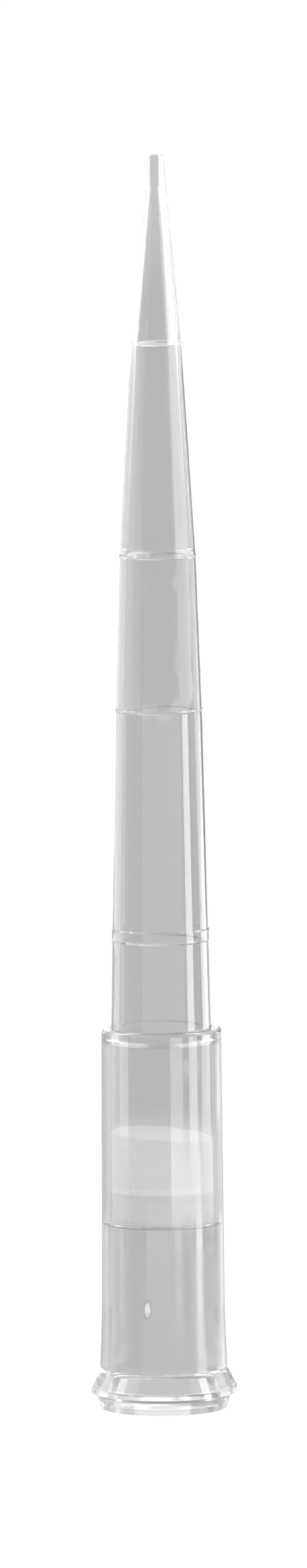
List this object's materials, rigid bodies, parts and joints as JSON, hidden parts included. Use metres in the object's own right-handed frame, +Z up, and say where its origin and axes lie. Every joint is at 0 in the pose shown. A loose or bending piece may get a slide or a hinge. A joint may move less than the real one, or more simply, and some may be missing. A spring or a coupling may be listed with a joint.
{
  "type": "filter pipette tip",
  "caption": "Clear tapered laboratory pipette tip with a flanged collar, fine graduation marks and a porous filter plug inside.",
  "frame": {"origin": "centre of the open collar end, on the surface that the tip stands on", "axes": "+Z up the tip's axis, from the open collar end to the fine orifice; +X towards the side where the filter plug sits lower"},
  "size_m": [0.007, 0.007, 0.06],
  "materials": {
    "clear_polypropylene": "see-through natural polypropylene, moulded gloss with a slight haze",
    "porous_polyethylene": "white sintered polyethylene, fine matt grain"
  },
  "bodies": {
    "root": {"tip_body": "clear_polypropylene", "filter_plug": "porous_polyethylene"}
  },
  "joints": []
}
